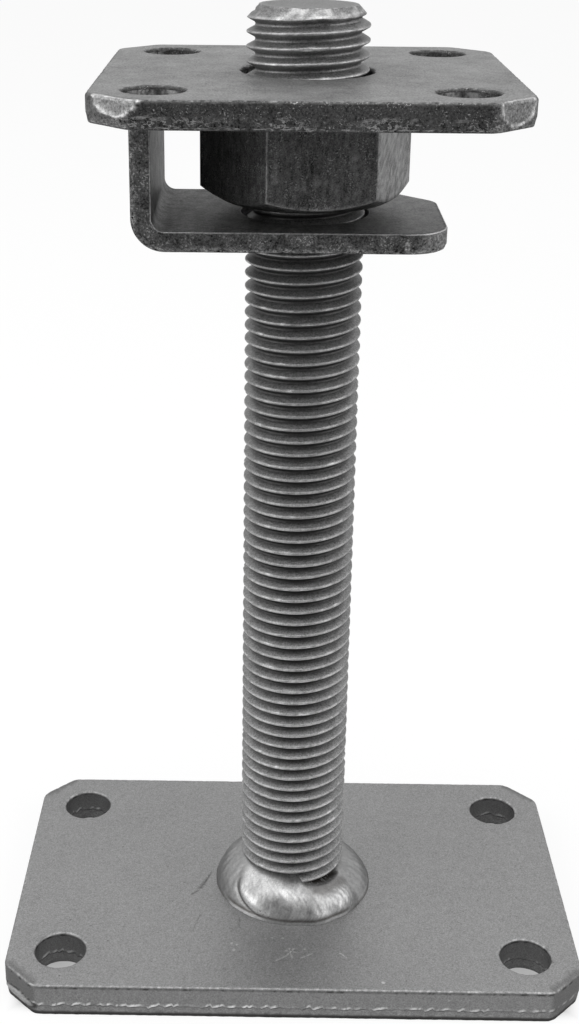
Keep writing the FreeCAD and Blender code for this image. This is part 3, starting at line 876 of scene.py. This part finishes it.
def nutCornerReach(angle):  # radius of the hexagon with rounded corners in that direction
    across = math.radians(60)
    off = (angle - math.radians(nut["turn"]) + across / 2) % across - across / 2  # from the nearest corner
    blend = nut["cornerRound"]
    middle = nut["flats"] / math.sqrt(3) - blend / math.cos(across / 2)  # of the corner's arc
    if abs(middle * math.sin(off)) < blend / 2 and abs(off) < 0.1:
        return middle * math.cos(off) + math.sqrt(blend ** 2 - (middle * math.sin(off)) ** 2)
    return nut["flats"] / 2 / math.cos(across / 2 - abs(off))


def nutColumn(reach, low, high):  # radius, height and brightness from the lower mouth to the upper
    face, mouth = nut["face"] / 2, nut["mouth"] / 2
    drop = max(0.0, (reach - face) * math.tan(math.radians(nut["bevel"])))
    column = [
        (mouth, low, 0.0), (lerp(mouth, face, 0.5), low, 0.0), (face, low, 0.15),
        (lerp(face, reach, 0.5), low + drop / 2, 0.0), (reach - 0.05, low + drop - 0.02, 0.35),
        (reach, low + drop + 0.08, 0.3),
    ]
    for k in range(1, nut["sideRows"]):
        column.append((reach, lerp(low + drop, high - drop, k / nut["sideRows"]), 0.0))
    column += [
        (reach, high - drop - 0.08, 0.2), (reach - 0.05, high - drop + 0.02, 0.3),
        (lerp(reach, face, 0.5), high - drop / 2, 0.0), (face, high, 0.15),
        (lerp(face, mouth, 0.5), high, 0.0), (mouth, high, 0.0),
    ]
    return column, drop


def hexNut():
    shape = newShape()
    low, high = nutLow.z, nutHigh.z
    turn, sixth = math.radians(nut["turn"]), math.radians(60)
    steps = [sixth * k / nut["sideColumns"] for k in range(nut["sideColumns"])]
    steps += [math.radians(degrees) for degrees in nut["cornerColumns"]]
    angles = sorted(turn + sixth * side + step for side in range(6) for step in steps)
    rows = [[] for _ in range(11 + nut["sideRows"])]
    for angle in angles:
        column, drop = nutColumn(nutCornerReach(angle), low, high)
        off = (angle - turn + math.radians(30)) % sixth - math.radians(30)
        corner = hill(math.degrees(off), 0.0, nut["cornerWide"])
        sideAt = (math.floor((math.degrees(angle) - nut["turn"]) / 60) + 0.5) * 60 + nut["turn"]
        # one side paler: its patina, and painted light
        paleAndLit = nut["paleLitShare"] * (abs((sideAt - nut["paleLitSide"] + 180) % 360 - 180) < 5)
        for row, (radius, level, edge) in zip(rows, column):
            x, y = radius * math.cos(angle), radius * math.sin(angle)
            onSide = low + drop < level < high - drop
            bright = max(edge, corner * nut["cornerBright"] * onSide) * (0.6 + 0.6 * rough(x, y, level, 1.2))
            mottle = 0.75 + 1.3 * rough(x, y, level, 0.9) + 0.5 * rough(x, y, level * 0.5, 3.0)
            scuff = 0.0
            for at, up, wide, tall, strength in nut["scuffs"] if y < 0 else []:
                scuff = max(scuff, strength * hill(x, at, wide) * hill(level - low, up, tall))
            scuff *= (1 + rough(x, y, level, 0.9)) * onSide
            bright = max(bright, (paleAndLit + scuff) * mottle)
            row.append(addVert(shape, (x, y, level), bright))
    addRows(shape, rows)

    def boreSurface(angle, level, share, height):
        fromEnd = min(level - low, high - level)
        if fromEnd < 0.001:
            return nut["mouth"] / 2, 0.0, 0.0
        lowest = thread["rootRadius"] + nut["boreCut"]
        crest = max(threadRadius(share, thread["nutRound"]), lowest) + thread["nutPlay"]
        mouth = nut["mouth"] / 2 - fromEnd / math.tan(math.radians(nut["bevel"]))
        return max(crest, mouth), nut["boreBright"], nut["boreDark"]

    helixRows(shape, low, high, boreSurface, inward=True)
    return shape


# Welds

weld = {
    "columns": 360, "rows": 34,
    # direction in degrees, and the bead's reach and rise there
    "reach": [
        (17, 22.8), (100, 22.6), (183, 22.3), (232, 22.7), (274, 23.2), (288, 24.0), (303, 23.7), (334, 23.4),
    ],
    "rise": [
        (0, 6.4), (60, 6.4), (130, 8.0), (180, 10.2), (206, 10.3), (251, 9.9), (269, 9.2), (309, 8.4),
        (337, 7.2),
    ],
    "crown": 1.1, "beadCrown": 1.9, "toeLip": 0.2, "skirt": 0.15, "reachWaver": 0.15, "riseWaver": 0.2,
    "rippleDeep": 0.05, "lumpDeep": 0.22, "grainDeep": 0.07, "ringDeep": 0.07,
    # where the last run laps over the first, how far the lap sweeps round its toe, and where that run ends
    "lapAt": 213.0, "lapSweep": 46.0, "lapCurl": 0.24, "beadEnd": (318.0, 334.0),
    "craterAt": 306.0, "craterTop": 0.84, "craterDeep": 1.0, "creaseDeep": 0.1, "lapDeep": 0.35,
    # directions between which the crater, the shade under it and the side that faces the
    # camera, with a painted highlight and painted shade along its toe, come in, and between which they go
    "craterSpan": ((279, 284), (326, 336)), "shadeSpan": ((284, 292), (322, 334)),
    "facingSpan": ((205, 222), (306, 324)),
    # the painted highlight over the whole bead, and what the lap and the comb of the ripples add to it
    "glow": 0.27, "lapHighlight": 1.1, "combHighlight": 0.42,
    # direction, share of the rise, half width, half height and strength of each patch of painted highlight,
    # or grey patch where it is weaker
    "glints": [
        (221, 0.88, 8, 0.14, 0.75), (240, 0.93, 11, 0.1, 0.55), (251, 0.8, 10, 0.1, 0.35),
        (264, 0.72, 5, 0.11, 0.4), (272, 0.3, 2.5, 0.14, 0.5), (278, 0.24, 3, 0.12, 0.6),
        (277, 0.87, 2.5, 0.08, 0.5), (291, 0.2, 6, 0.1, 0.3), (290, 0.62, 3, 0.08, 0.3),
        (314, 0.4, 5, 0.16, 0.1), (237, 0.6, 6, 0.13, -0.6), (256, 0.48, 8, 0.12, -0.55),
        (268, 0.44, 5, 0.1, -0.35), (285, 0.46, 4, 0.16, -0.5), (304, 0.6, 7, 0.1, -0.35),
        (302, 0.09, 9, 0.06, -0.5), (323, 0.2, 6, 0.2, -0.4),
    ],
}


def around(table, degrees):  # smooth value between a few directions
    points = sorted(table)
    points = [(points[-1][0] - 360, points[-1][1])] + points + [(points[0][0] + 360, points[0][1])]
    for (a, low), (b, high) in zip(points, points[1:]):
        if a <= degrees <= b:
            return lerp(low, high, smooth(a, b, degrees))
    return points[0][1]


def glintAt(degrees, t):
    return sum(
        strength * hill(degrees, middle, wide) * hill(t, share, tall)
        for middle, share, wide, tall, strength in weld["glints"]
    )


# bulge of the bead's surface there, with its bright, its dark and the crater's share
def weldPoint(degrees, t):
    edge = weld["lapAt"] + weld["lapSweep"] * math.exp(-t / weld["lapCurl"])
    past = degrees - edge
    bead = smooth(-1.0 - 5 * t, 1.2 + 9 * t, past) * (1 - smooth(*weld["beadEnd"], degrees))
    swell = math.sin(math.pi * t)
    crown = lerp(weld["crown"], weld["beadCrown"], bead) + 0.3 * bead * hill(past, 9, 9)
    bulge = crown * swell ** 0.8 if 0 < t < 1 else 0.0
    # ripples of the weld pool, which curve back towards the lap
    bow = degrees + 16 * (t - 0.45) ** 2 * 4
    wavy = smooth(0.1, 0.6, rough(degrees / 14, t * 2, 20) + 0.3)
    ripple = weld["rippleDeep"] * wavy * math.sin(bow * 1.5 + 3 * rough(degrees / 9, t * 3, 1))
    lumps = weld["lumpDeep"] * rough(degrees / 11, t * 2.6, 2)
    ripple += lumps + weld["grainDeep"] * rough(degrees / 3, t * 5, 3)
    arcAt = math.hypot((degrees - 296) / 9, (t - 0.12) * 3.2)
    arcs = hill(degrees, 310, 11) * hill(t, 0.4, 0.26)
    ring = math.sin(11 * arcAt + 3.5 * rough(degrees / 6, t * 4, 4))
    calm = 0.04 * math.sin(degrees * 0.8) + 0.1 * rough(degrees / 10, t * 3, 0)
    relief = lerp(calm, ripple, bead) * swell + weld["ringDeep"] * arcs * ring
    crater = smooth(-0.04, 0.14, t - weld["craterTop"] - 0.1 * ((degrees - weld["craterAt"]) / 25) ** 2)
    crater *= between(*weld["craterSpan"], degrees)
    shade = hill(t, 0.74, 0.15) * between(*weld["shadeSpan"], degrees)
    crease = hill(degrees, lerp(293, 283, t), 1.2) * smooth(0.1, 0.3, t) * (1 - crater)
    lap = hill(past, -2.2, 2.4) * smooth(0.02, 0.1, t) * (1 - 0.9 * smooth(0.25, 0.55, t))
    nested = 0.4 * hill(past, -5.5, 1.0) * between((0.05, 0.12), (0.2, 0.4), t)
    relief -= weld["craterDeep"] * crater
    bulge += relief - weld["creaseDeep"] * crease - weld["lapDeep"] * lap * swell
    # painted highlights and greyer patches, drawn out along the ripples
    comb = rough((bow + 10 * t) / 1.5, t * 2.2, 8)
    crescent = hill(past, 9, 10) * between((0.02, 0.08), (0.34, 0.55), t)
    glow = weld["glow"] + glintAt(degrees, t) + weld["lapHighlight"] * crescent + weld["combHighlight"] * comb
    glow += 0.2 * rough(degrees / 5, t * 5, 6)
    glow += 0.3 * rough(degrees / 1.3, t * 12, 30) - 0.5 * shade
    bright = bead * smooth(0.03, 0.1, t) * (1 - crater) * min(glow + 0.18 * arcs * ring, 1.0)
    # painted highlight along the toe on the side facing the camera
    facing = between(*weld["facingSpan"], degrees)
    bright = max(bright, 0.8 * hill(t, 0.02, 0.025) * facing * (0.75 + 0.4 * comb))
    speckle = smooth(0.1, 0.45, rough(degrees / 1.8, t * 12, 12) - 0.15 * smooth(300, 325, degrees))
    bright = max(bright, 0.75 * crater * speckle)
    # painted highlight along the seam
    seam = hill(degrees, lerp(294, 286, t) + 2 * rough(t * 9, 0, 1), 0.8)
    bright = max(bright, 0.8 * seam * bead * hill(t, 0.35, 0.2))
    dark = max(0.9 * crater * (1 - speckle), 0.45 * lap, nested, 0.15 * crease, 0.4 * shade)
    # painted shade along the toe: a line just above it on the side facing the camera, and at the toe on the
    # other sides
    dark = max(dark, 0.75 * hill(t, 0.085, 0.035) * facing)
    dark = max(dark, 0.45 * hill(t, 0.0, 0.04) * (1 - facing))
    return bulge, bright, dark, crater


def rodWeld():
    shape = newShape()
    foot = baseHigh.z
    rows = [[] for _ in range(weld["rows"] + 3)]
    for column in range(weld["columns"]):
        degrees = 360 * column / weld["columns"]
        angle = math.radians(degrees)
        reach = around(weld["reach"], degrees) + weld["reachWaver"] * rough(degrees / 9, 0, 0)
        rise = around(weld["rise"], degrees) + weld["riseWaver"] * rough(degrees / 7, 5, 0)
        out = Vector((rise, reach - rodRadius)).normalized()
        for k, row in enumerate(rows):
            t = min(k / weld["rows"], 1.0)
            bulge, bright, dark, crater = weldPoint(degrees, t)
            radius = lerp(reach, rodRadius, t) + out.x * bulge
            level = lerp(0.0, rise, t) + out.y * bulge + weld["toeLip"] * hill(t, 0.035, 0.03)
            radius += weld["skirt"] if k == 0 else 0.0
            past = k - weld["rows"]
            if past > 0:  # the bead runs on into the thread's grooves
                radius = lerp(rodRadius, thread["rootRadius"] - 0.4, past / 2)
                level = rise + 0.35 * past - weld["craterDeep"] * crater * out.y
                # painted shade where the bead runs into the grooves
                dark = max(dark, 0.15)
            place = polar(radius, angle, foot + max(level, 0.0))
            row.append(addVert(shape, place, bright, 0.0, dark))
    addRows(shape, rows)
    return shape


legWeld = {"leg": 3.5, "crown": 0.5, "inset": 4.0, "rows": 12, "step": 0.4}


def bracketWeld():
    shape = newShape()
    half = halfStrip - legWeld["inset"]
    wall = -strip["legReach"] - strip["thickness"]
    count = round(2 * half / legWeld["step"])
    rows = [[] for _ in range(legWeld["rows"] + 1)]
    for column in range(count + 1):
        y = lerp(-half, half, column / count)
        ends = math.sqrt(max(0.0, 1 - (abs(y) / half) ** 10))
        leg = legWeld["leg"] * (0.93 + 0.07 * rough(y, 0, 0, 2.5)) * max(ends, 0.02)
        for k, row in enumerate(rows):
            t = k / legWeld["rows"]
            swell = math.sin(math.pi * t)
            bulge = (legWeld["crown"] + 0.16 * math.sin(y * 2.4 + 2.5 * swell)) * swell * ends
            x = wall - leg * (1 - t) - bulge * 0.7
            z = headLow.z - leg * t - bulge * 0.7
            # painted sheen over the fillet, and painted shade along its two toes
            shine = 0.4 + 0.5 * rough(y, t * 3, 4, 1.6)
            row.append(addVert(shape, (x, y, z), shine, 0.0, 0.6 * (k in (0, legWeld["rows"]))))
    addRows(shape, rows, closed=False)
    back = [addVert(shape, (wall, lerp(-half, half, c / count), headLow.z)) for c in range(count + 1)]
    addBand(shape, rows[-1], back, closed=False)
    addBand(shape, back, rows[0], closed=False)
    for end, turnRound in ((0, False), (count, True)):
        edge = [row[end] for row in rows] + [back[end]]
        shape["faces"].append(tuple(edge[::-1] if turnRound else edge))
    return shape


print("plates")
baseMetal = zincSteel("baseZinc", plainZinc)
headMetal = zincSteel("headZinc", headZinc)
stripMetal = zincSteel("stripZinc", stripZinc)
makePiece("basePlate", platePiece(basePlate), "stand", "base_plate", baseMetal)
makePiece("headPlate", platePiece(headPlate), "head", "head_plate", headMetal)
makePiece("bracketStrip", platePiece(bracketStrip, bendStrip), "head", "bracket", stripMetal)
print("rod and nut")
rodMetal = zincSteel("rodZinc", rodZinc)
nutMetal = zincSteel("nutBlack", nutBlack)
makePiece("threadedRod", threadedRod(), "stand", "threaded_rod", rodMetal)
makePiece("hexNut", hexNut(), "nut", "hex_nut", nutMetal)
print("welds")
weldMetal = zincSteel("weldBright", weldBright)
makePiece("rodWeld", rodWeld(), "stand", "rod_weld", weldMetal)
makePiece("bracketWeld", bracketWeld(), "head", "bracket_weld", weldMetal)


# Floor, light and camera. Floor and sky are white, and dark cards stand in front of the
# object, on the photographer's side. Only the metal's reflections see the cards.

stage = {
    "floorHalf": 15000.0, "paperTone": 0.9, "underShadowTone": 0.6, "seenGlow": 0.85, "glowStrength": 1.0,
    "skyLight": 0.75,
    # the floor under the plate, seen through its holes, glows less and is painted darker within this distance
    # of the edge: a painted shadow
    "underInset": 6.0, "underEdge": 1.0, "underShadowGlow": 0.25,
}
cards = {
    "wallRadius": 3000.0, "wallParts": 48, "floorReach": 3000.0, "lift": 0.2,
    "wallTone": 0.16, "floorTone": 0.1,
    # where each card fades in: ahead of the object, beside it and up the wall
    "wallFront": (900.0, -1200.0), "wallHeight": (1300.0, 4000.0),
    "floorFront": (-120.0, -450.0), "floorSide": (300.0, 700.0), "floorBack": (500.0, 0.0),
}


def whiteForEye(tree):  # 1 for what the camera, a reflection or a clear piece shows
    rays = addNode(tree, "LightPath").outputs
    seen = calc(tree, "MAXIMUM", rays["Is Camera Ray"], rays["Is Glossy Ray"])
    return calc(tree, "MAXIMUM", seen, rays["Is Transmission Ray"])


def placeAxes(tree):
    return addNode(tree, "SeparateXYZ", {0: addNode(tree, "TexCoord").outputs["Object"]}).outputs


def fade(tree, value, edges, start=0.0, end=1.0):  # spread between two edges in millimetres
    return spread(tree, value, edges[0] * mm, edges[1] * mm, start, end)


def finishGlow(tree, share, under, strength):  # white light over another shader, by its share
    glow = addNode(tree, "Emission", {"Color": tone(1.0), "Strength": strength}).outputs[0]
    finishTree(tree, addNode(tree, "MixShader", {0: share, 1: under, 2: glow}).outputs[0])


def stageMesh(name, places, faces, material):
    mesh = bpy.data.meshes.new(name)
    mesh.from_pydata([Vector(place) * mm for place in places], [], faces)
    mesh.materials.append(material)
    sheet = newObject(name, mesh)
    return sheet


def makeFloor():
    material = bpy.data.materials.new("floorWhite")
    tree = emptyTree(material)
    place = placeAxes(tree)
    # painted shadow on the floor under the plate
    outside = []
    for axis, half in zip("XY", baseHigh):
        across = calc(tree, "ABSOLUTE", place[axis], 0.0)
        outside.append(fade(tree, across, (half - stage["underInset"], half - stage["underEdge"])))
    clear = calc(tree, "MAXIMUM", *outside)
    share = times(tree, whiteForEye(tree), stage["seenGlow"], mixValue(tree, clear, stage["underShadowGlow"], 1.0))
    colour = mixTone(tree, clear, tone(stage["underShadowTone"]), tone(stage["paperTone"]))
    paper = addNode(tree, "BsdfDiffuse", {"Color": colour}).outputs[0]
    finishGlow(tree, share, paper, stage["glowStrength"])
    half = stage["floorHalf"]
    corners = [(-half, -half, 0), (half, -half, 0), (half, half, 0), (-half, half, 0)]
    stageMesh("floor", corners, [(0, 1, 2, 3)], material)


def cardMaterial(name, level, maskOf):
    material = bpy.data.materials.new(name)
    tree = emptyTree(material)
    clear = addNode(tree, "BsdfTransparent").outputs[0]
    finishGlow(tree, maskOf(tree, placeAxes(tree)), clear, level)
    return material


def wallMask(tree, place):
    front = fade(tree, place["Y"], cards["wallFront"])
    return times(tree, front, fade(tree, place["Z"], cards["wallHeight"], 1.0, 0.0))


def floorMask(tree, place):
    front = fade(tree, place["Y"], cards["floorFront"])
    beside = fade(tree, calc(tree, "ABSOLUTE", place["X"], 0.0), cards["floorSide"])
    beside = times(tree, beside, fade(tree, place["Y"], cards["floorBack"]))
    return calc(tree, "MAXIMUM", front, beside)


def makeCards():
    radius, parts = cards["wallRadius"], cards["wallParts"]
    top = cards["wallHeight"][1]
    reach = math.asin(cards["wallFront"][0] / radius)
    places, faces = [], []
    for k in range(parts + 1):
        angle = reach - (math.pi + 2 * reach) * k / parts
        places += [polar(radius, angle, level) for level in (0.0, top)]
    for k in range(parts):
        faces.append((2 * k, 2 * k + 1, 2 * k + 3, 2 * k + 2))
    wall = stageMesh("darkWall", places, faces, cardMaterial("wallCard", cards["wallTone"], wallMask))
    half, level, back = cards["floorReach"], cards["lift"], cards["floorBack"][0]
    places = [(-half, -half, level), (half, -half, level), (half, back, level), (-half, back, level)]
    groundCard = cardMaterial("groundCard", cards["floorTone"], floorMask)
    ground = stageMesh("darkGround", places, [(0, 1, 2, 3)], groundCard)
    for card in (wall, ground):
        card.visible_camera = card.visible_diffuse = card.visible_shadow = False
        card.visible_transmission = card.visible_volume_scatter = False


def makeWorld():
    world = bpy.data.worlds.new("studio")
    bpy.context.scene.world = world
    tree = emptyTree(world)
    strength = mixValue(tree, whiteForEye(tree), stage["skyLight"], 1.0)
    glow = addNode(tree, "Background", {"Color": tone(1.0), "Strength": strength})
    finishTree(tree, glow.outputs[0], "World")


# round soft lamps: the way they lie from the object, how far, how wide and how bright they look
lamps = {
    "leftSoft": {"from": (-0.8, -0.3, 0.5), "away": 1500.0, "wide": 1600.0, "glow": 1.9},
    "rightSoft": {"from": (0.8, -0.35, 0.45), "away": 1500.0, "wide": 1400.0, "glow": 1.7},
    "topSoft": {"from": (0.0, -0.35, 0.94), "away": 1500.0, "wide": 1100.0, "glow": 1.6},
}


def makeLamps():
    middle = Vector((0, 0, headLow.z / 2)) * mm
    for name, look in lamps.items():
        data = bpy.data.lights.new(name, "AREA")
        data.shape = "DISK"
        data.size = look["wide"] * mm
        data.energy = look["glow"] * math.pi * math.pi * (data.size / 2) ** 2
        lamp = newObject(name, data)
        away = Vector(look["from"]).normalized()
        lamp.location = middle + away * look["away"] * mm
        lamp.rotation_euler = away.to_track_quat("Z", "Y").to_euler()
        lamp.visible_camera = False


camera = {
    "at": (-9.131, -380.626, 296.534), "yaw": 0.577, "pitch": 22.002, "roll": 0.454,
    "focalPixels": 1529.554, "centreX": 251.341, "centreY": 465.504, "frameX": 579, "frameY": 1024,
}


def makeCamera():
    data = bpy.data.cameras.new("view")
    data.sensor_width = 36.0
    data.lens = camera["focalPixels"] * data.sensor_width / camera["frameY"]
    data.shift_x = (camera["frameX"] / 2 - camera["centreX"]) / camera["frameY"]
    data.shift_y = (camera["centreY"] - camera["frameY"] / 2) / camera["frameY"]
    data.clip_start = 0.01
    eye = newObject("view", data)
    turn = Matrix.Rotation(math.radians(camera["yaw"]), 4, "Z")
    tilt = Matrix.Rotation(math.radians(90 - camera["pitch"]), 4, "X")
    lean = Matrix.Rotation(math.radians(camera["roll"]), 4, "Z")
    eye.matrix_world = Matrix.Translation(Vector(camera["at"]) * mm) @ turn @ tilt @ lean
    bpy.context.scene.camera = eye


print("stage")
makeFloor()
makeCards()
makeWorld()
makeLamps()
makeCamera()
bpy.context.scene.view_settings.view_transform = "Standard"
